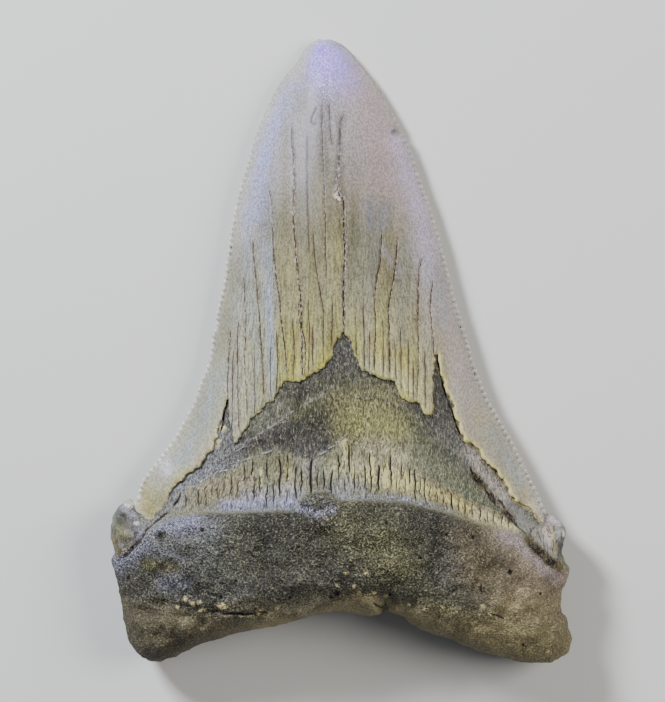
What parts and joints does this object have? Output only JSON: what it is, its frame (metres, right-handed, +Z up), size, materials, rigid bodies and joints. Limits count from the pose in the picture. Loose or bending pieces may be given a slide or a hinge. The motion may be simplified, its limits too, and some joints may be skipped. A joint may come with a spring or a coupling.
{
  "type": "fossil shark tooth",
  "caption": "Large fossil shark tooth: broad serrated enamel crown with split, ragged foot, dark neck and thick two-lobed porous root, lying flat with its domed face up.",
  "frame": {"origin": "middle of the tooth's bounding box, on the surface that it lies on", "axes": "+Y from the root to the tip, +Z up out of the domed inner face, +X to the right across the root's lobes"},
  "size_m": [0.0824, 0.1124, 0.0234],
  "materials": {
    "fossil_tooth": "satin enamel crown, matt granular root"
  },
  "bodies": {
    "root": {"shark_tooth": "fossil_tooth"}
  },
  "joints": []
}
